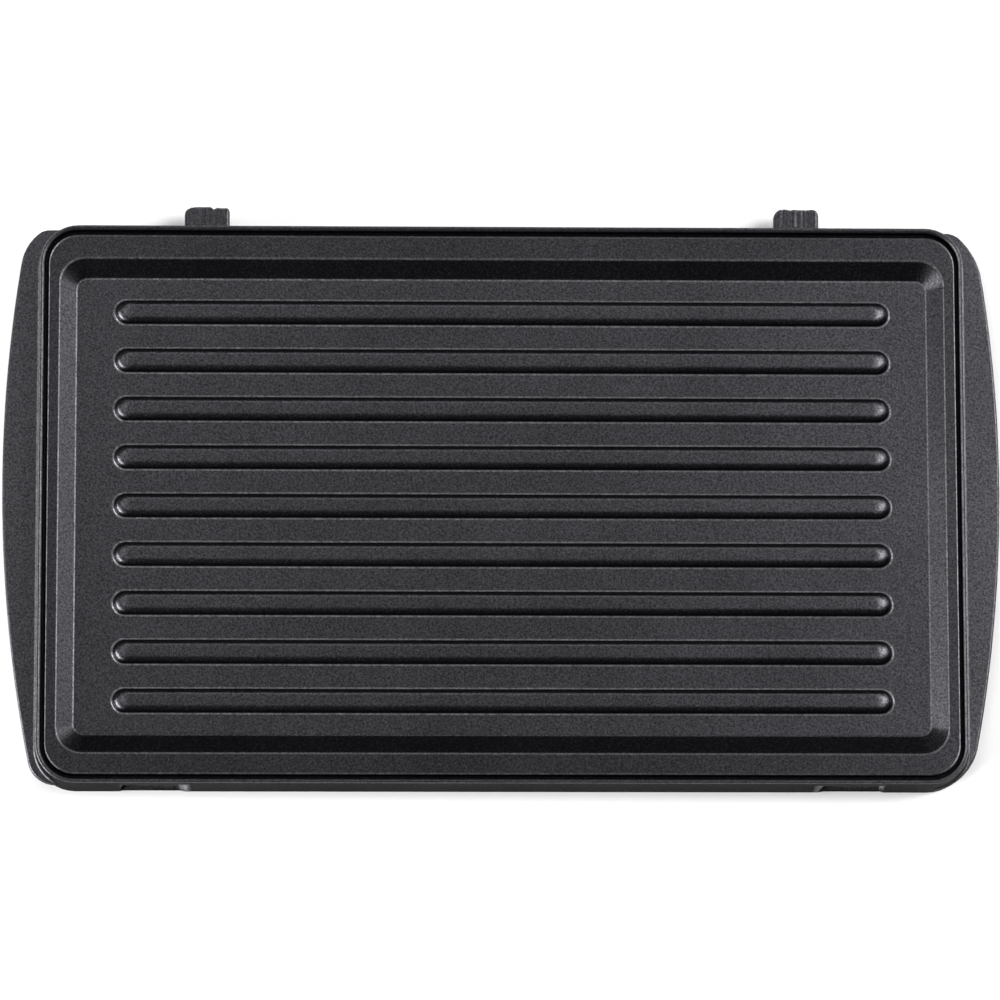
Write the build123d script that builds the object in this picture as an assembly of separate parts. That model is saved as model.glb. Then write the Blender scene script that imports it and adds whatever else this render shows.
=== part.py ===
from build123d import *
from math import radians, tan
import os

# One removable grill plate of an electric sandwich maker, a single die casting in aluminium.
# X runs along the ribs, Y runs to the rear, where the two hooking tabs are, and Z is up.
# The lower edge of the skirt stands on Z = 0, and the origin is the middle of the base box.

# Skirt and rim
rim_length = 236.0
rim_width = 143.2
rim_corner = 9.8
rim_height = 13.4
rim_thickness = 1.1
rim_rise = 0.8
rim_edge_round = 0.35
skirt_draft = 3.2
skirt_wall = 2.4
skirt_edge_round = 0.4
well_root_round = 1.5

# Grease groove inside the rim
groove_width = 1.15
groove_depth = 1.6
land_edge_round = 0.35

# Flat land between the groove and the pan
land_at_ends = 2.8
land_at_front = 5.35
land_at_rear = 6.15

# Cooking pan
pan_corner = 6.6
pan_depth = 3.0
slope_run_ends = 4.3
slope_run_sides = 4.9
floor_corner = 2.8
pan_mouth_round = 1.5

# Metal left under the pan's floor and under the groove
floor_thickness = 2.6
groove_thickness = 2.2

# Grill ribs, as many as the pan's floor takes
rib_pitch = 12.5
rib_width = 6.3
rib_end_gap = 9.25
rib_side_gap = 4.0
rib_height = 2.3
rib_draft = 18.0
rib_shoulder_round = 1.6

# Finger wings at the two ends, low on the skirt; each corner has its own radius and its own end line
wing_reach = 9.45
wing_arc_radius = 367.0
wing_arc_offset = 7.3
wing_thickness = 3.0
wing_drop = 8.2
left_wing_front_corner = 7.0
left_wing_front_end = 71.1
left_wing_rear_corner = 12.5
left_wing_rear_end = 74.0
right_wing_front_corner = 14.0
right_wing_front_end = 72.5
right_wing_rear_corner = 19.0
right_wing_rear_end = 76.0
wing_edge_round = 0.6

# Rear hooking tabs
tab_spacing = 151.1
tab_width = 11.5
tab_reach = 5.7
tab_thickness = 3.2
tab_drop = 3.4
tab_corner = 1.9
tab_edge_round = 0.5

# Front latch notches, each over a low sill and backed by a thicker pad inside the skirt
notch_spacing = 178.0
notch_width = 14.4
notch_depth = 1.4
notch_drop = 3.3
notch_end_slope_run = 1.5
notch_sill_height = 1.5
notch_sill_setback = 0.25
notch_pad_margin = 3.0
notch_pad_depth = 1.8

# Heater seat on the underside
heater_diameter = 6.6
heater_clearance = 0.3
heater_end_inset = 24.65
heater_side_inset = 21.7
heater_bend_radius = 22.0
heater_terminal_gap = 62.0
ridge_thickness = 1.8
ridge_height = 2.0
ridge_edge_round = 0.5

# Thermostat pad and ejector-pin marks on the underside
thermostat_pad_diameter = 22.0
thermostat_pad_height = 1.2
ejector_mark_diameter = 7.0
ejector_mark_height = 0.5
ejector_columns = 4
ejector_rows = 2
ejector_end_inset = 12.65
ejector_side_inset = 6.7

# Heights and places worked out from the sizes above
wall_spread = rim_height * tan(radians(skirt_draft))
land_height = rim_height - rim_rise
groove_floor = land_height - groove_depth
pan_floor = land_height - pan_depth
well_ceiling = groove_floor - groove_thickness
pan_underside = pan_floor - floor_thickness
recess_length = rim_length - 2 * rim_thickness
recess_width = rim_width - 2 * rim_thickness
recess_corner = rim_corner - rim_thickness
land_length = recess_length - 2 * groove_width
land_width = recess_width - 2 * groove_width
land_corner = recess_corner - groove_width
pan_length = land_length - 2 * land_at_ends
pan_width = land_width - land_at_front - land_at_rear
pan_setback = (land_at_rear - land_at_front) / 2
floor_length = pan_length - 2 * slope_run_ends
floor_width = pan_width - 2 * slope_run_sides
wing_top = rim_height - wing_drop
wing_spread = wing_drop * tan(radians(skirt_draft))
tab_top = rim_height - tab_drop
notch_top = rim_height - notch_drop
ridge_foot = pan_underside - ridge_height

# The box runs from the front edge of the skirt to the tips of the tabs, and its middle is the origin
rim_shift = -(tab_reach - wall_spread) / 2


def rounded_block(length, width, corner, low, high):
    """An upright block with rounded corners, between two heights."""
    return extrude(Pos(0, 0, low) * RectangleRounded(length, width, corner), high - low)


def edges_at(solid, height):
    """The edges of a solid that lie flat at one height."""
    margin = 0.001
    return solid.edges().filter_by_position(Axis.Z, height - margin, height + margin)


def skirt_block():
    """The outer block, which spreads towards its lower edge with the die's draft."""
    foot = RectangleRounded(rim_length + 2 * wall_spread, rim_width + 2 * wall_spread, rim_corner + wall_spread)
    block = extrude(foot, rim_height, taper=skirt_draft)
    return fillet(edges_at(block, 0), skirt_edge_round)


def wing(side, front_corner, front_end, rear_corner, rear_end):
    """A flat finger wing: a shallow arc with two rounded corners, which stops level with the skirt."""
    widest = rim_length / 2 + wing_reach
    disc = Pos(side * (widest - wing_arc_radius), wing_arc_offset) * Circle(wing_arc_radius)
    middle = (rear_end - front_end) / 2
    band = Pos(side * widest, middle) * Rectangle(8 * wing_reach, front_end + rear_end)
    slab = extrude(Pos(0, 0, wing_top - wing_thickness) * (disc & band), wing_thickness)
    uprights = slab.edges().filter_by(Axis.Z).sort_by(lambda edge: abs(edge.center().X))[-2:]
    front, rear = uprights.sort_by(Axis.Y)
    slab = fillet(front, front_corner)
    uprights = slab.edges().filter_by(Axis.Z)
    rear = uprights.sort_by(lambda edge: (edge.center() - rear.center()).length)[0]
    slab = fillet(rear, rear_corner)
    slab = fillet(edges_at(slab, wing_top) + edges_at(slab, wing_top - wing_thickness), wing_edge_round)
    between = Box(2 * widest, rim_width + 2 * wing_spread, 2 * rim_height)
    return slab & between


def tab(side):
    """A rear tab that hooks into the sandwich maker's hinge side."""
    root = rim_width / 2 - rim_thickness
    tip = rim_width / 2 + tab_reach
    outline = Pos(side * tab_spacing / 2, (root + tip) / 2) * Rectangle(tab_width, tip - root)
    outline = fillet(outline.vertices().group_by(Axis.Y)[-1], tab_corner)
    slab = extrude(Pos(0, 0, tab_top - tab_thickness) * outline, tab_thickness)
    return fillet(edges_at(slab, tab_top), tab_edge_round)


def outer_body():
    """The skirt block with its wings and tabs, before anything is hollowed out."""
    body = skirt_block() + tab(-1) + tab(1)
    body += wing(-1, left_wing_front_corner, left_wing_front_end, left_wing_rear_corner, left_wing_rear_end)
    body += wing(1, right_wing_front_corner, right_wing_front_end, right_wing_rear_corner, right_wing_rear_end)
    return body


def groove_and_recess():
    """The space inside the rim above the land, and the narrow groove around the land."""
    space = rounded_block(recess_length, recess_width, recess_corner, groove_floor, rim_height)
    land = rounded_block(land_length, land_width, land_corner, groove_floor, land_height)
    land = fillet(edges_at(land, land_height), land_edge_round)
    return space - land


def pan_hollow():
    """The space of the pan: sloping walls from the land down to the floor."""
    mouth = Pos(0, -pan_setback, land_height) * RectangleRounded(pan_length, pan_width, pan_corner)
    bed = Pos(0, -pan_setback, pan_floor) * RectangleRounded(floor_length, floor_width, floor_corner)
    return loft([bed, mouth], ruled=True)


def rib(y):
    """One grill rib: a drafted bar with round ends and a rounded top edge."""
    foot = Pos(0, y, pan_floor) * SlotOverall(floor_length - 2 * rib_end_gap, rib_width)
    bar = extrude(foot, rib_height, taper=rib_draft)
    return fillet(edges_at(bar, pan_floor + rib_height), rib_shoulder_round)


def well():
    """The hollow under the plate: its ceiling follows the pan, so that the metal is about even."""
    length = rim_length - 2 * skirt_wall
    width = rim_width - 2 * skirt_wall
    space = rounded_block(length, width, rim_corner - skirt_wall, 0, well_ceiling)
    space = fillet(edges_at(space, well_ceiling), well_root_round)
    bed_length = floor_length + 2 * floor_thickness
    bed_width = floor_width + 2 * floor_thickness
    bed = rounded_block(bed_length, bed_width, floor_corner + floor_thickness, pan_underside, well_ceiling)
    return space - Pos(0, -pan_setback, 0) * bed


def notch_pad(side):
    """The thicker wall behind a latch notch, inside the skirt."""
    wall_inside = -(rim_width / 2 - skirt_wall)
    pad_width = notch_width + 2 * notch_pad_margin
    pad = Pos(side * notch_spacing / 2, wall_inside) * Rectangle(pad_width, 2 * notch_pad_depth)
    return extrude(pad, well_ceiling)


def notch(side):
    """A latch notch in the front wall, with its end towards the middle sloping outwards, over a low sill."""
    face = -(rim_width / 2 + wall_spread)
    outer = notch_spacing / 2 + notch_width / 2
    inner = notch_spacing / 2 - notch_width / 2

    def bite(depth, low, high):
        """The space that the notch takes from the wall, between two heights."""
        back = face + depth
        front = face - notch_depth
        slope_reach = notch_end_slope_run * (back - front) / notch_depth
        corners = [
            (side * outer, back),
            (side * inner, back),
            (side * (inner - slope_reach), front),
            (side * outer, front),
        ]
        return extrude(Pos(0, 0, low) * make_face(Polyline(corners, close=True)), high - low)

    return bite(notch_depth, notch_sill_height, notch_top) + bite(notch_sill_setback, 0, notch_sill_height)


def heater_ridges():
    """Two low ridges that hold a bent tubular heater between them, open at the rear for its terminals."""

    run_length = floor_length - 2 * heater_end_inset
    run_width = floor_width - 2 * heater_side_inset

    def run_outline(offset):
        return RectangleRounded(run_length + 2 * offset, run_width + 2 * offset, heater_bend_radius + offset)

    inner_face = heater_diameter / 2 + heater_clearance
    outer_face = inner_face + ridge_thickness
    rings = run_outline(outer_face) - run_outline(inner_face)
    rings += run_outline(-inner_face) - run_outline(-outer_face)
    rings -= Pos(0, run_width / 2) * Rectangle(heater_terminal_gap, run_width)
    ridges = extrude(Pos(0, -pan_setback, ridge_foot) * rings, ridge_height)
    return fillet(edges_at(ridges, ridge_foot), ridge_edge_round)


def round_pad(place, diameter, height):
    """A low round pad on the pan's underside."""
    disc = Pos(0, -pan_setback, pan_underside - height) * place * Circle(diameter / 2)
    return extrude(disc, height)


def underside_pads():
    """The thermostat's contact pad, and the marks where ejector pins pushed the casting out of its die."""
    column_pitch = (floor_length - 2 * ejector_end_inset) / (ejector_columns - 1)
    row_pitch = (floor_width - 2 * ejector_side_inset) / (ejector_rows - 1)
    marks = GridLocations(column_pitch, row_pitch, ejector_columns, ejector_rows)
    pads = [round_pad(place, ejector_mark_diameter, ejector_mark_height) for place in marks]
    return pads + [round_pad(Pos(0, 0), thermostat_pad_diameter, thermostat_pad_height)]


def is_mouth_edge(edge):
    """True for an edge around the pan's mouth, and not for one around the land."""
    middle = edge.center()
    margin = land_at_ends / 4
    in_length = abs(middle.X) < pan_length / 2 + margin
    return in_length and abs(middle.Y + pan_setback) < pan_width / 2 + margin


def grill_plate():
    """The whole casting, about the middle of its rim."""
    plate = outer_body() - groove_and_recess()
    plate = fillet(edges_at(plate, rim_height), rim_edge_round)

    plate -= pan_hollow()
    plate = fillet(edges_at(plate, land_height).filter_by(is_mouth_edge), pan_mouth_round)

    plate -= well()
    plate += notch_pad(-1)
    plate += notch_pad(1)
    plate -= notch(-1)
    plate -= notch(1)

    rib_steps = int((floor_width - rib_width - 2 * rib_side_gap) / rib_pitch)
    for step in range(rib_steps + 1):
        plate += rib(-pan_setback + (rib_steps / 2 - step) * rib_pitch)

    plate += heater_ridges()
    for pad in underside_pads():
        plate += pad
    return plate


os.makedirs("parts", exist_ok=True)
export_step(Pos(0, rim_shift, 0) * grill_plate(), "parts/grill_plate.step")
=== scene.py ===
import math
import random

import bpy
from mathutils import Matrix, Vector


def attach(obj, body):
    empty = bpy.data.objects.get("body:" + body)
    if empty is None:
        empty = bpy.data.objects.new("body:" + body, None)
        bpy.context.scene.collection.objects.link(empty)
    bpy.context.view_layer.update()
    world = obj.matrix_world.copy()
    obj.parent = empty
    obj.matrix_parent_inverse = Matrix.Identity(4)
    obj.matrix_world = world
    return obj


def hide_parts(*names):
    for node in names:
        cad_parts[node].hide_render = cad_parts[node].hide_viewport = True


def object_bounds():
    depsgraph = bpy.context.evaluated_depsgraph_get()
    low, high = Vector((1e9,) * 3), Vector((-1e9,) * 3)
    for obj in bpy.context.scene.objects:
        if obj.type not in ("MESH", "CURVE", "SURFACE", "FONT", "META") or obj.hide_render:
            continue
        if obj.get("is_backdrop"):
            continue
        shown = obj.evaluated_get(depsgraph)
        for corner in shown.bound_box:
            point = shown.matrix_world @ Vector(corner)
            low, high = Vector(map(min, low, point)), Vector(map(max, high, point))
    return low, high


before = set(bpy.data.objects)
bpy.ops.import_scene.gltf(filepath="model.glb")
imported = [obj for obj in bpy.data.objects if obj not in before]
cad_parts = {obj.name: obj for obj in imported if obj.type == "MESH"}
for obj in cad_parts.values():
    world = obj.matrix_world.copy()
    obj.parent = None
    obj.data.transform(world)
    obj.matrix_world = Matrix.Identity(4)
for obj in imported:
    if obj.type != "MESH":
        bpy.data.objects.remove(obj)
cad_low, cad_high = (list(corner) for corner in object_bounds())
mm = 0.001

# The casting: skirt, rim, grease groove, land, pan and the hollow underneath.
# It is one pressure die casting in aluminium, so every corner carries the small radius of its die,
# and the walls lean by a few degrees so that the casting could be pushed out.
rim_length = 236.0 * mm
rim_width = 143.2 * mm
rim_corner = 9.8 * mm
rim_height = 13.4 * mm
rim_thickness = 1.1 * mm
rim_rise = 0.8 * mm
wall_lean = math.tan(math.radians(3.2))
skirt_wall = 2.4 * mm
groove_width = 1.15 * mm
groove_depth = 1.6 * mm
groove_thickness = 2.2 * mm
land_at_ends = 2.8 * mm
land_at_front = 5.35 * mm
land_at_rear = 6.15 * mm
pan_depth = 3.0 * mm
pan_corner = 6.6 * mm
slope_run_ends = 4.3 * mm
slope_run_sides = 4.9 * mm
floor_corner = 2.8 * mm
floor_thickness = 2.6 * mm
tab_reach = 5.7 * mm

# The radii of the die along the casting's edges and roots
skirt_foot_soft = 0.45 * mm
rim_outer_soft = 0.4 * mm
rim_inner_soft = 1.0 * mm
groove_root_soft = 0.55 * mm
land_edge_soft = 0.6 * mm
pan_edge_soft = 0.45 * mm
hollow_foot_soft = 0.4 * mm
hollow_root_soft = 1.5 * mm
hollow_edge_soft = 0.6 * mm

# The latch notches in the front wall: slots just under the rim, over a low sill
notch_middle = 89.0 * mm
notch_half_width = 7.2 * mm
notch_depth = 1.4 * mm
notch_drop = 3.3 * mm
notch_inner_slope = 1.5 * mm
notch_outer_slope = 0.8 * mm
notch_sill_height = 1.5 * mm
notch_sill_setback = 0.25 * mm
notch_pad_margin = 3.0 * mm
notch_pad_depth = 1.8 * mm
# Painted light inside the notches, lifting their shade, and brighter still at their two ends
notch_inside_painted_light = 0.12
notch_ends_painted_light = 0.4
notch_ends_band = 0.4 * mm

# Painted highlights along each edge: how much paler the coating is painted there, at its rear, at its front
# and at its two ends
no_painted_highlight = (0, 0, 0)
skirt_foot_highlight = (0.03, 0.03, 0.1)
rim_outer_highlight = (0.075, 0.075, 0.2)
rim_inner_highlight = (0.04, 0.04, 0.3)
land_edge_highlight = (0.1, 0.13, 1.3)
pan_mouth_highlight = (0.1, 0.08, 0.27)
floor_edge_highlight = (0.2, 0, 0.2)
highlight_sharpness = 3

# How much gloss the coating gets in each place, at the rear, at the front and at the ends; lowered as
# painted shade in the groove, on the slopes and at the floor's front edge
full_gloss = (1, 1, 1)
groove_shaded_gloss = (0.08, 0.08, 0.08)
land_gloss = (0.76, 0.74, 0.70)
pan_mouth_gloss = (0.76, 0.7, 0.75)
slope_shaded_gloss = (0.5, 0.5, 1)
floor_edge_shaded_gloss = (1, 0.6, 1)
gloss_sharpness = 0.6

# Heights, places and sizes worked out from those above
rim_middle = cad_high[1] - tab_reach - rim_width / 2
land_height = rim_height - rim_rise
groove_floor = land_height - groove_depth
pan_floor = land_height - pan_depth
hollow_ceiling = groove_floor - groove_thickness
pan_underside = pan_floor - floor_thickness
pan_middle = rim_middle - (land_at_rear - land_at_front) / 2
pan_length = rim_length - 2 * (rim_thickness + groove_width + land_at_ends)
pan_width = rim_width - 2 * (rim_thickness + groove_width) - land_at_front - land_at_rear
floor_length = pan_length - 2 * slope_run_ends
floor_width = pan_width - 2 * slope_run_sides
corner_steps = 10
turn_steps = 5
longest_turn = 0.49

# Where the numbers of a level outline stand in its list
outline_notch = 5
outline_bites = slice(5, 7)
outline_highlight = slice(7, 10)
outline_gloss = slice(10, 13)


def ring(
    length, width, corner, height, middle, soft=0.0, painted_highlight=no_painted_highlight, painted_gloss=full_gloss, notch=0.0, pad=0.0
):
    """One level outline of the casting: a rounded rectangle, how softly the metal turns there, and its
    painted highlight and gloss.
    """
    return [length, width, corner, height, middle, notch, pad, *painted_highlight, *painted_gloss, soft]


def blend_rings(first, second, share):
    return [a + (b - a) * share for a, b in zip(first, second)]


def step_back(here, other, distance):
    """The outline a small way along the metal from one level outline towards its neighbour."""
    length, width, _, height = here[:4]
    other_length, other_width, _, other_height = other[:4]
    run = max(abs(length - other_length), abs(width - other_width)) / 2
    share = distance / math.hypot(run, height - other_height)
    return blend_rings(here, other, min(longest_turn, share))


def soften(rings):
    """Round off each level outline that has a softness, as the die's edges are rounded."""
    made = [rings[0]]
    for before, here, after in zip(rings, rings[1:], rings[2:]):
        soft = here[-1]
        if soft == 0:
            made.append(here)
            continue
        arrive, leave = (step_back(here, other, soft) for other in (before, after))
        for step in range(turn_steps + 1):
            share = step / turn_steps
            point = blend_rings(blend_rings(arrive, here, share), blend_rings(here, leave, share), share)
            point[outline_bites] = here[outline_bites]
            # A painted highlight, brightest halfway round the rounded edge
            point[outline_highlight] = [pale * math.sin(math.pi * share) for pale in here[outline_highlight]]
            made.append(point)
    made.append(rings[-1])
    return made


def front_bite(x, notch, pad):
    """How far the front wall steps back at x, given the depths of the notch and of the pad inside it."""
    off = abs(x) - notch_middle
    inner = notch_half_width + notch_inner_slope
    outer = notch_half_width + notch_outer_slope
    if -notch_half_width <= off <= notch_half_width:
        depth = 1.0
    elif -inner < off < 0:
        depth = (inner + off) / notch_inner_slope
    elif 0 < off < outer:
        depth = (outer - off) / notch_outer_slope
    else:
        depth = 0.0
    inside_pad = abs(off) <= notch_half_width + notch_pad_margin
    return depth * notch + inside_pad * pad


def notch_painted_light(x, notch):
    """How much painted light lifts the shade inside the notch at x: most at its two ends."""
    off = abs(x) - notch_middle
    reached = -notch_half_width - notch_inner_slope <= off <= notch_half_width + notch_outer_slope
    if notch < notch_depth / 2 or not reached:
        return 0.0
    return notch_inside_painted_light if abs(off) < notch_half_width - notch_ends_band / 4 else notch_ends_painted_light


def front_stations():
    """The places along the front wall where a notch or its pad starts or ends, and three in between."""
    pad_reach = notch_half_width + notch_pad_margin
    pad_step = 0.1 * mm
    places = [
        -pad_reach - pad_step,
        -pad_reach,
        -notch_half_width - notch_inner_slope,
        -notch_half_width,
        -notch_half_width + notch_ends_band,
        0.0,
        notch_half_width - notch_ends_band,
        notch_half_width,
        notch_half_width + notch_outer_slope,
        pad_reach,
        pad_reach + pad_step,
    ]
    between = 40 * mm
    right = [notch_middle + place for place in places]
    return [-x for x in reversed(right)] + [-between, 0.0, between] + right


def ring_points(outline, stations=()):
    """The points of a level outline, the same number on each, so that outlines can be skinned."""
    length, width, corner, height, middle, notch, pad = outline[:7]
    points = []
    for index, (side_x, side_y) in enumerate(((1, -1), (1, 1), (-1, 1), (-1, -1))):
        for step in range(corner_steps + 1):
            angle = math.radians(90 * (index - 1 + step / corner_steps))
            x = side_x * (length / 2 - corner) + corner * math.cos(angle)
            y = middle + side_y * (width / 2 - corner) + corner * math.sin(angle)
            points.append((x, y, height))
    for x in stations:
        points.append((x, middle - width / 2 + front_bite(x, notch, pad), height))
    return points


def by_side(values, sharpness):
    """A value for each corner point of a level outline, blended between its rear, front and ends."""
    rear, front, ends = values
    blended = []
    for index, side in enumerate((front, rear, rear, front)):
        for step in range(corner_steps + 1):
            angle = math.radians(90 * (index - 1 + step / corner_steps))
            blended.append(side + (ends - side) * abs(math.cos(angle)) ** sharpness)
    return blended


def skin(name, outlines, stations=(), steep_wall_gloss=1.0):
    """Skin level outlines from first to last into one closed mesh, with both ends capped."""
    points, painted_highlights, painted_glosses = [], [], []
    for outline in outlines:
        painted_highlight, painted_gloss = outline[outline_highlight], outline[outline_gloss]
        _, front_highlight, _ = painted_highlight
        _, front_gloss, _ = painted_gloss
        points += ring_points(outline, stations)
        # Painted highlights along the edges and painted light in the notches, and the gloss that paints
        # shade by place
        painted_highlights += by_side(painted_highlight, highlight_sharpness)
        painted_highlights += [max(front_highlight, notch_painted_light(x, outline[outline_notch])) for x in stations]
        painted_glosses += by_side(painted_gloss, gloss_sharpness) + [front_gloss] * len(stations)
    faces = tube_faces(len(outlines), len(points) // len(outlines))
    return casting_piece(name, points, faces, painted_highlights, painted_glosses, steep_wall_gloss)


def tube_faces(levels, count):
    """The faces of a closed tube of levels, each with the same count of points, and of its two caps."""
    faces = []
    for level in range(levels - 1):
        for index in range(count):
            near, far = level * count, (level + 1) * count
            ahead = (index + 1) % count
            faces.append((near + index, near + ahead, far + ahead, far + index))
    faces.append(tuple(reversed(range(count))))
    faces.append(tuple(range((levels - 1) * count, levels * count)))
    return faces


def casting_piece(name, points, faces, painted_highlights, painted_glosses=None, steep_wall_gloss=1.0):
    """Make a mesh object with smooth turns and flat faces kept flat, and note its painted highlights and
    its gloss.

    Steep walls keep only the share of their gloss given for them, which paints shade on them.
    """
    dull_rise = 0.38
    shiny_rise = 0.70
    flat_face_weight = 100
    mesh = bpy.data.meshes.new(name)
    mesh.from_pydata(points, [], faces)
    mesh.update()
    reached = [(abs(point.normal.z) - dull_rise) / (shiny_rise - dull_rise) for point in mesh.vertices]
    reached = [max(steep_wall_gloss, min(1.0, share)) for share in reached]
    painted_glosses = [painted_gloss * share for painted_gloss, share in zip(painted_glosses or [1.0] * len(points), reached)]
    for label, values in (("painted_edge_highlight", painted_highlights), ("painted_gloss", painted_glosses)):
        noted = mesh.attributes.new(label, "FLOAT", "POINT")
        noted.data.foreach_set("value", values)
    mesh.validate()
    mesh.update()
    for face in mesh.polygons:
        face.use_smooth = True
    piece = bpy.data.objects.new(name, mesh)
    bpy.context.collection.objects.link(piece)
    even = piece.modifiers.new("flat faces lead", "WEIGHTED_NORMAL")
    even.weight = flat_face_weight
    even.keep_sharp = True
    return piece


def casting_shell():
    """The shell's level outlines, from the pan's underside, round skirt and rim, to the pan's floor."""
    hollow = (rim_length - 2 * skirt_wall, rim_width - 2 * skirt_wall, rim_corner - skirt_wall)
    inner = (rim_length - 2 * rim_thickness, rim_width - 2 * rim_thickness, rim_corner - rim_thickness)
    land = tuple(size - change * groove_width for size, change in zip(inner, (2, 2, 1)))
    pan = (pan_length, pan_width, pan_corner)
    bed = (floor_length, floor_width, floor_corner)
    under = tuple(size + change * floor_thickness for size, change in zip(bed, (2, 2, 1)))
    cap_inset = 2.0 * mm
    bed_band = 0.6 * mm
    slope_band = 0.12
    notch_top = rim_height - notch_drop
    hair = 0.02 * mm

    def inset(outline, distance, corner):
        return outline[0] - 2 * distance, outline[1] - 2 * distance, corner

    def wall(height):
        lean = (rim_height - height) * wall_lean
        return rim_length + 2 * lean, rim_width + 2 * lean, rim_corner + lean

    def wall_ring(height, depth):
        """The skirt's outline at a height; a notch's floor is upright, this depth behind the foot."""
        return ring(*wall(height), height, rim_middle, notch=depth and depth - height * wall_lean)

    def slope_ring(share):
        size = blend_rings(pan, bed, share)
        return ring(*size, land_height + (pan_floor - land_height) * share, pan_middle, painted_gloss=slope_shaded_gloss)

    return [
        ring(*inset(under, cap_inset, floor_corner), pan_underside, pan_middle),
        ring(*under, pan_underside, pan_middle, hollow_edge_soft),
        ring(*under, hollow_ceiling, pan_middle, hollow_edge_soft),
        ring(*hollow, hollow_ceiling, rim_middle, hollow_root_soft, pad=notch_pad_depth),
        ring(*hollow, 0, rim_middle, hollow_foot_soft, pad=notch_pad_depth),
        ring(*wall(0), 0, rim_middle, skirt_foot_soft, skirt_foot_highlight, notch=notch_sill_setback),
        wall_ring(notch_sill_height, notch_sill_setback),
        wall_ring(notch_sill_height + hair, notch_depth),
        wall_ring(notch_top - hair, notch_depth),
        wall_ring(notch_top, 0),
        ring(*wall(rim_height), rim_height, rim_middle, rim_outer_soft, rim_outer_highlight),
        ring(*inner, rim_height, rim_middle, rim_inner_soft, rim_inner_highlight),
        ring(*inner, groove_floor, rim_middle, groove_root_soft, painted_gloss=groove_shaded_gloss),
        ring(*land, groove_floor, rim_middle, groove_root_soft, painted_gloss=groove_shaded_gloss),
        ring(*land, land_height, rim_middle, land_edge_soft, land_edge_highlight, land_gloss),
        ring(*pan, land_height, pan_middle, pan_edge_soft, pan_mouth_highlight, pan_mouth_gloss),
        slope_ring(slope_band),
        slope_ring(1 - slope_band),
        ring(*bed, pan_floor, pan_middle, pan_edge_soft, floor_edge_highlight, floor_edge_shaded_gloss),
        ring(*inset(bed, bed_band, floor_corner - bed_band), pan_floor, pan_middle),
        ring(*inset(bed, cap_inset, floor_corner / 2), pan_floor, pan_middle),
    ]


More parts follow.
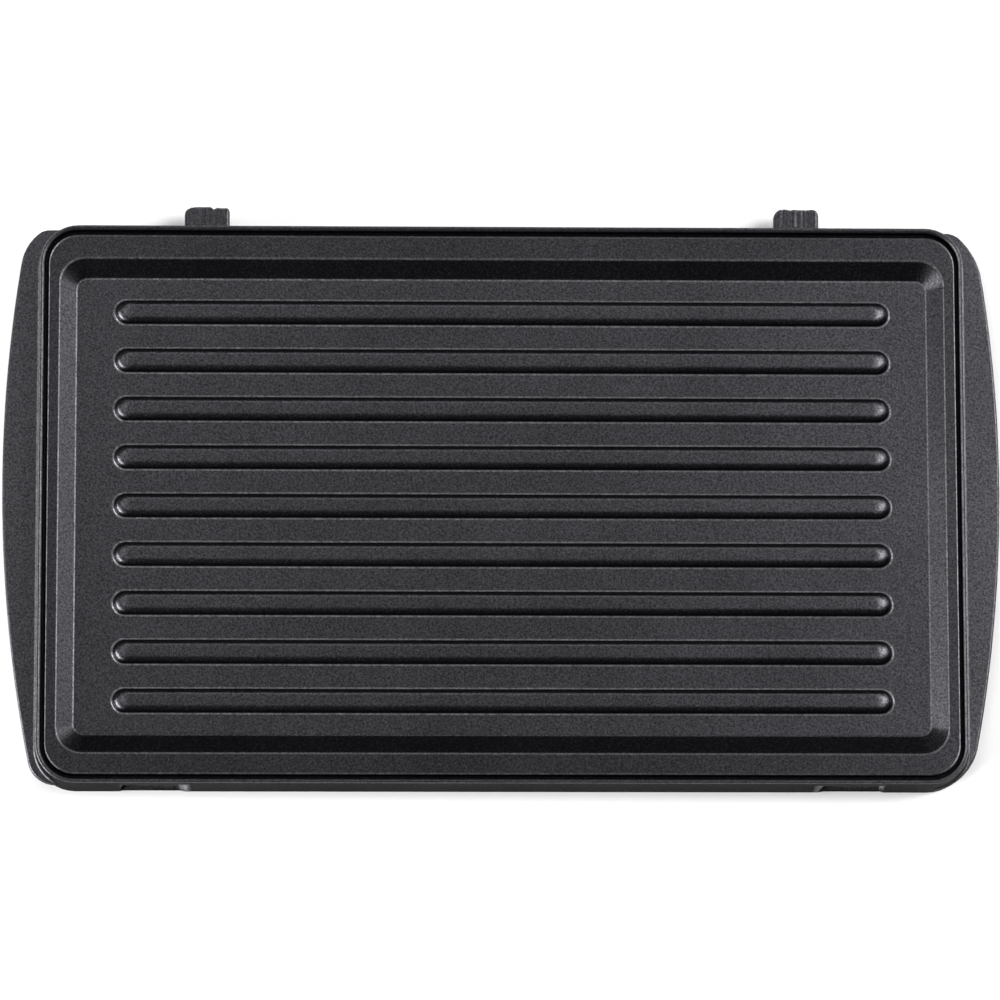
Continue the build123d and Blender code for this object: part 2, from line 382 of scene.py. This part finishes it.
def coating():
    """Black non-stick coating: sprayed, baked, satin, with a sandy grain and fine pale mineral flakes.

    It is painted paler along its edges and inside the notches, as painted highlights and painted light, and
    its rough grain shades itself where it is seen at a flat angle.
    """
    black = (0.0015, 0.0013, 0.0019, 1)
    # The pale colour serves the mineral flakes and the painted highlights
    pale = (0.50, 0.49, 0.52, 1)
    cool_reflection = (0.925, 0.91, 1.0, 1)
    refraction = 1.5
    satin_roughness = (0.32, 0.37)
    speckle_sheen = (0.255, 0.805)
    flake_paleness = 0.016
    flat_angle = (0.55, 0.80)
    shaded_sheen = 0.005
    noise_turn = (0.7, 0.5, 0.3)
    bump_strength = 0.5
    grain_height = 0.03 * mm
    peel_height = 0.04 * mm

    material = bpy.data.materials.new("nonstick_coating")
    material.use_nodes = True
    nodes, links = material.node_tree.nodes, material.node_tree.links
    surface = nodes["Principled BSDF"]
    surface.inputs["IOR"].default_value = refraction
    surface.inputs["Specular Tint"].default_value = cool_reflection

    place = nodes.new("ShaderNodeTexCoord")
    turned = nodes.new("ShaderNodeMapping")
    turned.inputs["Rotation"].default_value = noise_turn
    links.new(place.outputs["Object"], turned.inputs["Vector"])

    def noise(per_metre, detail, rough=0.6):
        made = nodes.new("ShaderNodeTexNoise")
        made.inputs["Scale"].default_value = per_metre
        made.inputs["Detail"].default_value = detail
        made.inputs["Roughness"].default_value = rough
        links.new(turned.outputs["Vector"], made.inputs["Vector"])
        return made.outputs["Fac"]

    def spread(value, between, to):
        """Stretch the range between two values to a new range, and hold what lies beyond it."""
        made = nodes.new("ShaderNodeMapRange")
        for end, source, result in zip(("Min", "Max"), between, to):
            made.inputs[f"From {end}"].default_value = source
            made.inputs[f"To {end}"].default_value = result
        links.new(value, made.inputs["Value"])
        return made.outputs["Result"]

    def combine(kind, first, second):
        made = nodes.new("ShaderNodeMath")
        made.operation = kind
        links.new(first, made.inputs[0])
        links.new(second, made.inputs[1])
        return made.outputs["Value"]

    def noted(label):
        made = nodes.new("ShaderNodeAttribute")
        made.attribute_name = label
        return made.outputs["Fac"]

    def bump(height, distance):
        made = nodes.new("ShaderNodeBump")
        made.inputs["Strength"].default_value = bump_strength
        made.inputs["Distance"].default_value = distance
        links.new(height, made.inputs["Height"])
        return made

    grain = noise(per_metre=2050, detail=2, rough=0.65)
    peel = noise(per_metre=1100, detail=1)
    cloud = noise(per_metre=28, detail=4)

    flakes = spread(grain, between=(0.56, 0.72), to=(0, flake_paleness))
    clouded = spread(cloud, between=(0.35, 0.65), to=(0.5, 1))
    # Painted highlights along the edges and in the notches, made patchy by the peel and the grain
    highlight_patches = spread(peel, between=(0.3, 0.7), to=(0.4, 1))
    highlight_grain = spread(grain, between=(0.35, 0.6), to=(0.6, 1.1))
    painted_highlight = combine("MULTIPLY", noted("painted_edge_highlight"), combine("MULTIPLY", highlight_patches, highlight_grain))
    tint = nodes.new("ShaderNodeMix")
    tint.data_type = "RGBA"
    tint.inputs["A"].default_value = black
    tint.inputs["B"].default_value = pale
    links.new(combine("MAXIMUM", combine("MULTIPLY", flakes, clouded), painted_highlight), tint.inputs["Factor"])
    links.new(tint.outputs["Result"], surface.inputs["Base Color"])
    links.new(spread(cloud, between=(0.3, 0.7), to=satin_roughness), surface.inputs["Roughness"])

    facing = nodes.new("ShaderNodeLayerWeight")
    facing.inputs["Blend"].default_value = 0.5
    unshaded = spread(facing.outputs["Facing"], between=flat_angle, to=(1, shaded_sheen))
    speckle = spread(grain, between=(0.34, 0.66), to=speckle_sheen)
    # The gloss is painted by place: lowered as painted shade in the groove, on the slopes and on the ribs'
    # steep walls, raised on the rib ends and the wings
    shine = combine("MULTIPLY", combine("MULTIPLY", speckle, noted("painted_gloss")), unshaded)
    links.new(shine, surface.inputs["Specular IOR Level"])

    fine = bump(grain, grain_height)
    broad = bump(peel, peel_height)
    links.new(fine.outputs["Normal"], broad.inputs["Normal"])
    links.new(broad.outputs["Normal"], surface.inputs["Normal"])
    return material


nonstick = coating()


def fit_piece(piece):
    """Give a piece of the casting its finish, and seat it in place of the plain solid."""
    piece.data.materials.append(nonstick)
    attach(piece, "root")
    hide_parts("grill_plate")


fit_piece(skin("plate_shell", soften(casting_shell()), front_stations()))

# The grill ribs: nine bars with round ends and rounded tops, cast with the pan's floor.
# Their sides lean, so that the plate leaves its die, and a small radius joins them to the floor.
rib_pitch = 12.5 * mm
rib_count = 9
rib_length = 198.0 * mm
rib_width = 6.3 * mm
rib_height = 2.3 * mm
rib_lean = math.tan(math.radians(18.0))
rib_foot_soft = 0.45 * mm
rib_top_soft = 1.25 * mm
rib_end_lean = math.tan(math.radians(31.0))
rib_end_drop = 1.2 * mm
rib_end_run = 4.2 * mm
rib_round_end = 0.499
rib_cap_inset = 0.45 * rib_width
rib_root_depth = 0.6 * mm
rib_root_spread = 0.9 * mm
rib_root_hair = 0.05 * mm
rib_foot_hair = 0.004 * mm
rib_foot_steps = 6
rib_top_steps = 9
# Painted shade on the ribs' steep walls, gloss raised on their ends as a painted highlight, and a painted
# highlight along their feet
rib_wall_shaded_gloss = 0.06
rib_ends_lit_gloss = (1, 1, 1.16)
rib_foot_highlight = 0.23


def bend(start, turn, stop, share):
    """A place on the curve that leaves start and reaches stop, both along straight lines to turn."""
    return (1 - share) ** 2 * start + 2 * share * (1 - share) * turn + share**2 * stop


def rib_profile():
    """The rib's side from the floor to its flat top: how far in, how high, and how bright its painted
    highlight.
    """
    corner = Vector((rib_height * rib_lean, rib_height))
    up_wall = Vector((rib_lean, 1)) / math.hypot(1, rib_lean)
    foot = (Vector((-rib_foot_soft, rib_foot_hair)), Vector((0, 0)), up_wall * rib_foot_soft)
    shoulder = (corner - up_wall * rib_top_soft, corner, corner + Vector((rib_top_soft, 0)))
    profile = []
    for curve, steps, painted_highlight in ((foot, rib_foot_steps, rib_foot_highlight), (shoulder, rib_top_steps, 0)):
        for step in range(steps + 1):
            inset, rise = bend(*curve, step / steps)
            profile.append((inset, rise, painted_highlight * math.sin(math.pi * step / steps)))
    return profile


def rib_end_inset(rise):
    """How far the rib's end leans in at a height: a straight wall, then a long shoulder."""
    straight = rib_height - rib_end_drop
    if rise <= straight:
        return max(rise, 0.0) * rib_end_lean
    share = 1 - math.sqrt(max(0.0, rib_height - rise) / rib_end_drop)
    return bend(straight * rib_end_lean, rib_height * rib_end_lean, rib_end_run, share)


def rib(number):
    """One rib, from its foot in the floor up to its rounded top; its ends lean back more than its sides."""
    middle = pan_middle + ((rib_count + 1) / 2 - number) * rib_pitch

    def level(inset, rise, painted_highlight=0.0):
        width = rib_width - 2 * inset
        foot = min(0.0, inset - max(rise, 0.0) * rib_lean)
        length = rib_length - 2 * (foot + rib_end_inset(rise))
        # The ends get raised gloss, a painted highlight; the foot's painted highlight is fainter at the
        # ends
        painted_gloss = rib_ends_lit_gloss if 0 < rise < rib_height else full_gloss
        highlight_by_side = (painted_highlight, painted_highlight, painted_highlight / 2)
        corner = rib_round_end * width
        return ring(length, width, corner, pan_floor + rise, middle, painted_highlight=highlight_by_side, painted_gloss=painted_gloss)

    outlines = [level(-rib_root_spread, -rib_root_depth), level(-rib_root_spread, -rib_root_hair)]
    outlines += [level(*point) for point in rib_profile()]
    outlines.append(level(rib_cap_inset, rib_height))
    return skin(f"grill_rib_{number}", outlines, steep_wall_gloss=rib_wall_shaded_gloss)


for number in range(1, rib_count + 1):
    fit_piece(rib(number))

# The finger wings: a flat flange at each end, cast with the skirt low on its wall, to lift the plate by.
# Each has one long shallow arc for its edge; the left one has tighter corners than the right one.
wing_reach = 9.45 * mm
wing_arc_radius = 367.0 * mm
wing_arc_offset = 7.3 * mm
wing_thickness = 3.0 * mm
wing_drop = 8.2 * mm
wing_top = rim_height - wing_drop
wing_root_soft = 0.5 * mm
wing_edge_soft = 0.6 * mm
# Painted highlights along the wings' edges and on the left wing's root, and the wings' gloss raised
wing_edge_highlight = 0.04
left_wing_root_highlight = 0.3
wing_gloss = 1.12
wing_least_reach = 0.02 * mm
wing_corner_steps = 12
wing_arc_steps = 48
flange_root_depth = 0.9 * mm
flange_most_soft = 0.45

# The radius of each wing's corner, and how far from the rim's middle the wing ends: front, then rear
left_wing_ends = ((7.0 * mm, 71.1 * mm), (12.5 * mm, 74.0 * mm))
right_wing_ends = ((14.0 * mm, 72.5 * mm), (19.0 * mm, 76.0 * mm))


def wing_outline(ends):
    """The edge of the right-hand wing, from its front end to its rear end, about the rim's middle."""
    widest = rim_length / 2 + wing_reach
    hub = Vector((widest - wing_arc_radius, wing_arc_offset))
    skirt_half = rim_width / 2 + wing_drop * wall_lean
    corners = []
    for side, (radius, end) in zip((-1, 1), ends):
        height = side * (end - radius)
        knee = Vector((hub.x + math.sqrt((wing_arc_radius - radius) ** 2 - (height - hub.y) ** 2), height))
        onto_arc = math.atan2(knee.y - hub.y, knee.x - hub.x)
        points = [Vector((rim_length / 2 - 2 * rim_corner, side * end))]
        for step in range(wing_corner_steps + 1):
            share = step / wing_corner_steps
            angle = math.radians(90) * side * (1 - share) + onto_arc * share
            points.append(knee + radius * Vector((math.cos(angle), math.sin(angle))))
        corners.append([Vector((point.x, max(-skirt_half, min(skirt_half, point.y)))) for point in points])
    front, rear = corners
    low, high = (math.asin((corner[-1].y - hub.y) / wing_arc_radius) for corner in corners)
    sweep = []
    for step in range(1, wing_arc_steps):
        angle = low + (high - low) * step / wing_arc_steps
        sweep.append(hub + wing_arc_radius * Vector((math.cos(angle), math.sin(angle))))
    return front + sweep + list(reversed(rear))


def distance_to_edge(outline, start, direction):
    """How far it is from a point on the wall, outwards, to the wing's edge."""
    parallel, slack = 1e-12, 1e-6
    best = 0.0
    for first, second in zip(outline, outline[1:]):
        along = second - first
        cross = direction.x * along.y - direction.y * along.x
        if abs(cross) < parallel:
            continue
        gap = first - start
        distance = (gap.x * along.y - gap.y * along.x) / cross
        share = (gap.x * direction.y - gap.y * direction.x) / cross
        if distance > 0 and -slack <= share <= 1 + slack:
            best = max(best, distance)
    return best


def flange_profile(reach, top, thickness, root, edge, edge_highlight, root_highlight):
    """A flange cut across, from its root round its edge: how far out, how high, and how bright its painted
    highlight.
    """
    bottom = top - thickness
    quarter = [math.radians(90) * step / turn_steps for step in range(turn_steps + 1)]
    profile = [(-flange_root_depth, bottom, 0), (-flange_root_depth, top + root, 0)]
    for angle in quarter:
        out, drop = root * (1 - math.cos(angle)), root * (1 - math.sin(angle))
        profile.append((out, top + drop, root_highlight * math.cos(angle)))
    for angle in quarter:
        inset, drop = edge * (1 - math.sin(angle)), edge * (1 - math.cos(angle))
        profile.append((reach - inset, top - drop, edge_highlight * math.sin(2 * angle)))
    for angle in quarter:
        inset, rise = edge * (1 - math.cos(angle)), edge * (1 - math.sin(angle))
        profile.append((reach - inset, bottom + rise, 0))
    return profile


def flange(name, sections, edge_highlight, root_highlight=0.0, painted_gloss=1.0):
    """A flange on the skirt, skinned from its sections.

    Each gives a point on the wall, the way out, the reach, the top's height, and the thickness and radii.
    """
    points, painted_highlights = [], []
    for wall, out, reach, top, thickness, root, edge in sections:
        root, edge = (min(soft, flange_most_soft * reach) for soft in (root, edge))
        profile = flange_profile(reach, top, thickness, root, edge, edge_highlight, root_highlight)
        for distance, height, painted_highlight in profile:
            points.append((wall[0] + out[0] * distance, wall[1] + out[1] * distance, height))
            painted_highlights.append(painted_highlight)
    faces = tube_faces(len(sections), len(profile))
    return casting_piece(name, points, faces, painted_highlights, [painted_gloss] * len(points))


def wing_rays(ends):
    """Points on the skirt's wall, each with its way out, from the wing's front end to its rear end."""
    corner_places = 16
    wall_places = 24
    degrees_short = 0.5
    wall_corner = rim_corner + wing_drop * wall_lean
    hub = Vector((rim_length / 2 - rim_corner, rim_width / 2 - rim_corner))
    turns = []
    for side, (_, end) in zip((-1, 1), ends):
        last = math.degrees(math.asin(min(1.0, (end - hub.y) / wall_corner))) - degrees_short
        turn = []
        for place in range(corner_places + 1):
            angle = math.radians(last * place / corner_places)
            way = Vector((math.cos(angle), side * math.sin(angle)))
            turn.append((Vector((hub.x, side * hub.y)) + wall_corner * way, way))
        turns.append(turn)
    front, rear = turns
    heights = [hub.y * (2 * place / wall_places - 1) for place in range(1, wall_places)]
    straight = [(Vector((hub.x + wall_corner, y)), Vector((1, 0))) for y in heights]
    return list(reversed(front)) + straight + rear


def wing(name, side, ends):
    """One wing, laid round the skirt from its front corner to its rear corner."""
    outline = wing_outline(ends)
    sections = []
    for wall, way in wing_rays(ends):
        reach = max(distance_to_edge(outline, wall, way), wing_least_reach)
        place, out = (side * wall.x, wall.y + rim_middle), (side * way.x, way.y)
        sections.append((place, out, reach, wing_top, wing_thickness, wing_root_soft, wing_edge_soft))
    root_highlight = 0.0
    if side < 0:
        root_highlight = left_wing_root_highlight
        sections.reverse()
    return flange(name, sections, wing_edge_highlight, root_highlight, wing_gloss)


fit_piece(wing("wing_left", -1, left_wing_ends))
fit_piece(wing("wing_right", 1, right_wing_ends))

# The rear tabs: two short flanges, cast with the skirt, that hook into the sandwich maker's hinge side.
# The casting's gates were broken off here, so their edges are rough and carry slivers of flash.
tab_middle = 75.55 * mm
tab_width = 11.5 * mm
tab_thickness = 3.2 * mm
tab_drop = 3.4 * mm
tab_top = rim_height - tab_drop
tab_root_soft = 0.7 * mm
tab_edge_soft = 0.5 * mm
tab_side_soft = 0.8 * mm
# Painted highlight along the tabs' edges
tab_edge_highlight = 0.25
tab_edge_torn = 0.1 * mm
tab_top_uneven = (-0.05 * mm, 0.02 * mm)
tab_softness = (0.7, 1.3)
tab_steps = 32
tab_side_steps = 6
tab_end_gap = 0.02 * mm

# Each tab's outer corners, left then right, and the bites in its edge: place along it, width and depth
left_tab_corners = (2.0 * mm, 1.3 * mm)
right_tab_corners = (2.3 * mm, 1.6 * mm)
left_bites = (
    (1.8 * mm, 0.55 * mm, 0.55 * mm),
    (3.9 * mm, 1.2 * mm, 0.25 * mm),
    (-4.5 * mm, 1.0 * mm, 0.2 * mm),
)
right_bites = (
    (-1.6 * mm, 0.5 * mm, 0.2 * mm),
    (1.6 * mm, 2.0 * mm, 0.16 * mm),
)


def tab_places():
    """Places along a tab, close together at its two rounded sides."""
    half = tab_width / 2
    inner = half - tab_side_soft
    turn = [math.radians(90) * step / tab_side_steps for step in range(tab_side_steps)]
    side = [half - tab_side_soft * (1 - math.cos(angle)) for angle in turn]
    middle = [inner * (1 - 2 * step / tab_steps) for step in range(tab_steps + 1)]
    return side + middle + [-place for place in reversed(side)]


def rounding(radius, beyond):
    """How far a rounded corner falls back where it has run a distance beyond its start."""
    return radius - math.sqrt(max(0.0, radius**2 - max(0.0, beyond) ** 2))


def tab(name, side, corners, bites, seed):
    """One tab, with its outer edge broken away in bites and a little rough all along."""
    rough = random.Random(seed)
    wall = rim_middle + rim_width / 2 + tab_drop * wall_lean
    full = cad_high[1] - wall - tab_end_gap
    sections = []
    for off in tab_places():
        corner = corners[0] if off < 0 else corners[1]
        reach = full - rounding(corner, abs(off) - (tab_width / 2 - corner))
        for place, width, depth in bites:
            reach -= depth * math.exp(-(((off - place) / width) ** 2))
        reach -= rough.uniform(0, tab_edge_torn)
        drop = rounding(tab_side_soft, abs(off) - (tab_width / 2 - tab_side_soft))
        top = tab_top - drop + rough.uniform(*tab_top_uneven)
        edge = tab_edge_soft * rough.uniform(*tab_softness)
        place = (side * tab_middle + off, wall)
        sections.append((place, (0, 1), reach, top, tab_thickness - 2 * drop, tab_root_soft, edge))
    return flange(name, sections, tab_edge_highlight)


fit_piece(tab("rear_tab_left", -1, left_tab_corners, left_bites, 4))
fit_piece(tab("rear_tab_right", 1, right_tab_corners, right_bites, 9))

# The heater seat on the underside: two low ridges that keep a bent tubular heater in place.
# They are cast with the pan's underside and are left open at the rear for the heater's terminals.
heater_radius = 3.3 * mm
heater_clearance = 0.3 * mm
heater_end_inset = 24.65 * mm
heater_side_inset = 21.7 * mm
heater_bend_radius = 22.0 * mm
heater_terminal_gap = 62.0 * mm
ridge_thickness = 1.8 * mm
ridge_height = 2.0 * mm
ridge_soft = 0.5 * mm
ridge_soft_middle = 0.15 * mm
# Painted highlight along the ridges' rounded edges
ridge_edge_highlight = 0.2
root_depth = 0.3 * mm


def heater_path():
    """The heater's centre line, from one side of the rear gap round to the other, with its outward way."""
    half_length = floor_length / 2 - heater_end_inset
    half_width = floor_width / 2 - heater_side_inset
    path = [((heater_terminal_gap / 2, half_width), (0.0, 1.0))]
    for index, (side_x, side_y) in enumerate(((1, 1), (1, -1), (-1, -1), (-1, 1))):
        for step in range(corner_steps + 1):
            angle = math.radians(90 * (1 - index - step / corner_steps))
            way = (math.cos(angle), math.sin(angle))
            x = side_x * (half_length - heater_bend_radius) + heater_bend_radius * way[0]
            y = side_y * (half_width - heater_bend_radius) + heater_bend_radius * way[1]
            path.append(((x, y), way))
    path.append(((-heater_terminal_gap / 2, half_width), (0.0, 1.0)))
    return path


def ridge(name, near, far):
    """One ridge, between two distances from the heater's centre line."""
    foot, root = pan_underside - ridge_height, pan_underside + root_depth
    profile = [
        (near, root, 0),
        (near, foot + ridge_soft, 0),
        (near + ridge_soft_middle, foot + ridge_soft_middle, ridge_edge_highlight),
        (near + ridge_soft, foot, 0),
        (far - ridge_soft, foot, 0),
        (far - ridge_soft_middle, foot + ridge_soft_middle, ridge_edge_highlight),
        (far, foot + ridge_soft, 0),
        (far, root, 0),
    ]
    points, painted_highlights = [], []
    path = heater_path()
    for (x, y), way in path:
        for distance, height, painted_highlight in profile:
            points.append((x + way[0] * distance, y + pan_middle + way[1] * distance, height))
            painted_highlights.append(painted_highlight)
    return casting_piece(name, points, tube_faces(len(path), len(profile)), painted_highlights)


seat_half = heater_radius + heater_clearance
fit_piece(ridge("heater_ridge_outer", seat_half, seat_half + ridge_thickness))
fit_piece(ridge("heater_ridge_inner", -seat_half - ridge_thickness, -seat_half))

# The round pads, cast with the pan's underside: the thermostat presses on the one in the middle.
# The others are the marks of the ejector pins that pushed the hot casting out of its die.
thermostat_pad_diameter = 22.0 * mm
thermostat_pad_height = 1.2 * mm
ejector_mark_diameter = 7.0 * mm
ejector_mark_height = 0.5 * mm
ejector_columns = 4
ejector_rows = (("front", -1), ("rear", 1))
ejector_end_inset = 12.65 * mm
ejector_side_inset = 6.7 * mm
pad_soft = 0.2 * mm
pad_soft_middle = 0.06 * mm
# Painted highlight along the pads' rounded edges
pad_edge_highlight = 0.2
pad_steps = 40


def round_pad(name, x, y, diameter, height):
    """A low round pad with a softened edge, on the pan's underside."""
    levels = (
        (0, root_depth, 0),
        (0, pad_soft - height, 0),
        (pad_soft_middle, pad_soft_middle - height, pad_edge_highlight),
        (pad_soft, -height, 0),
    )
    points, painted_highlights = [], []
    for inset, rise, painted_highlight in reversed(levels):
        reach = diameter / 2 - inset
        for step in range(pad_steps):
            angle = 2 * math.pi * step / pad_steps
            points.append((x + reach * math.cos(angle), y + reach * math.sin(angle), pan_underside + rise))
            painted_highlights.append(painted_highlight)
    return casting_piece(name, points, tube_faces(len(levels), pad_steps), painted_highlights)


fit_piece(round_pad("thermostat_pad", 0.0, pan_middle, thermostat_pad_diameter, thermostat_pad_height))
mark_reach = floor_length / 2 - ejector_end_inset
mark_offset = floor_width / 2 - ejector_side_inset
for column in range(ejector_columns):
    for row, side in ejector_rows:
        x = mark_reach * (2 * column / (ejector_columns - 1) - 1)
        y = pan_middle + side * mark_offset
        mark = f"ejector_mark_{column + 1}_{row}"
        fit_piece(round_pad(mark, x, y, ejector_mark_diameter, ejector_mark_height))

# The studio: a plain white floor and five soft lights against a white backdrop.
# Three hang overhead, the strongest to the right, and one stands low at each end, where it draws
# the pan's end walls and the ends of the ribs.
floor_size = 6.0
floor_drop = 0.2 * mm
floor_white = (0.86, 0.86, 0.86, 1)
floor_roughness = 0.9
floor_shine = 0.1


def studio_floor():
    mesh = bpy.data.meshes.new("studio_floor")
    half = floor_size / 2
    corners = [(-half, -half, 0), (half, -half, 0), (half, half, 0), (-half, half, 0)]
    mesh.from_pydata(corners, [], [(0, 1, 2, 3)])
    floor = bpy.data.objects.new("studio_floor", mesh)
    bpy.context.collection.objects.link(floor)
    floor.location.z = cad_low[2] - floor_drop
    material = bpy.data.materials.new("white_paper")
    material.use_nodes = True
    surface = material.node_tree.nodes["Principled BSDF"]
    surface.inputs["Base Color"].default_value = floor_white
    surface.inputs["Roughness"].default_value = floor_roughness
    surface.inputs["Specular IOR Level"].default_value = floor_shine
    floor.data.materials.append(material)
    floor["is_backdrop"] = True


def soft_light(name, place, size, watts):
    """A soft box that points at the plate; place and size in metres."""
    lamp = bpy.data.lights.new(name, "AREA")
    lamp.shape = "RECTANGLE"
    lamp.size, lamp.size_y = size
    lamp.energy = watts
    holder = bpy.data.objects.new(name, lamp)
    bpy.context.collection.objects.link(holder)
    holder.location = place
    holder.rotation_euler = (-Vector(place)).to_track_quat("-Z", "Y").to_euler()


def white_backdrop():
    """White behind the plate for the camera alone, so that it adds no light."""
    world = bpy.data.worlds.new("studio")
    bpy.context.scene.world = world
    world.use_nodes = True
    nodes, links = world.node_tree.nodes, world.node_tree.links
    seen = nodes.new("ShaderNodeLightPath")
    backdrop = nodes["Background"]
    backdrop.inputs["Color"].default_value = (1, 1, 1, 1)
    links.new(seen.outputs["Is Camera Ray"], backdrop.inputs["Strength"])


studio_floor()
soft_light("right_overhead_light", place=(0.9, 0.25, 1.2), size=(0.5, 0.9), watts=23)
soft_light("left_overhead_light", place=(-0.65, 0.25, 1.35), size=(0.8, 0.9), watts=5.5)
soft_light("rear_light", place=(0, 0.85, 1.25), size=(1.0, 0.5), watts=4.5)
soft_light("left_light", place=(-1.32, -0.50, 0.513), size=(1.0, 0.45), watts=50)
soft_light("right_light", place=(1.30, 0.60, 0.513), size=(1.0, 0.45), watts=4.2)
white_backdrop()

# The camera: far away on a long lens, nearly straight above, leaning a little towards the front.
# It looks at a point at the height of the land, just in front of the middle of the whole plate.
camera_tilt = math.radians(9.46)
camera_turn = math.radians(-1.66)
camera_roll = math.radians(0.17)
camera_from_aim = Vector((-0.736 * mm, 0.039 * mm, 1.5659))
camera_aim = Vector((0, -1.67 * mm, land_height))
sensor_width = 36
lens_per_sensor = 6.163
camera_data = bpy.data.cameras.new("camera")
camera_data.sensor_width = sensor_width
camera_data.lens = sensor_width * lens_per_sensor
camera = bpy.data.objects.new("camera", camera_data)
bpy.context.collection.objects.link(camera)
camera.rotation_mode = "ZYX"
camera.rotation_euler = (camera_tilt, camera_turn, camera_roll)
camera.location = camera_aim + camera.rotation_euler.to_matrix() @ camera_from_aim
bpy.context.scene.camera = camera
bpy.context.scene.view_settings.view_transform = "Standard"
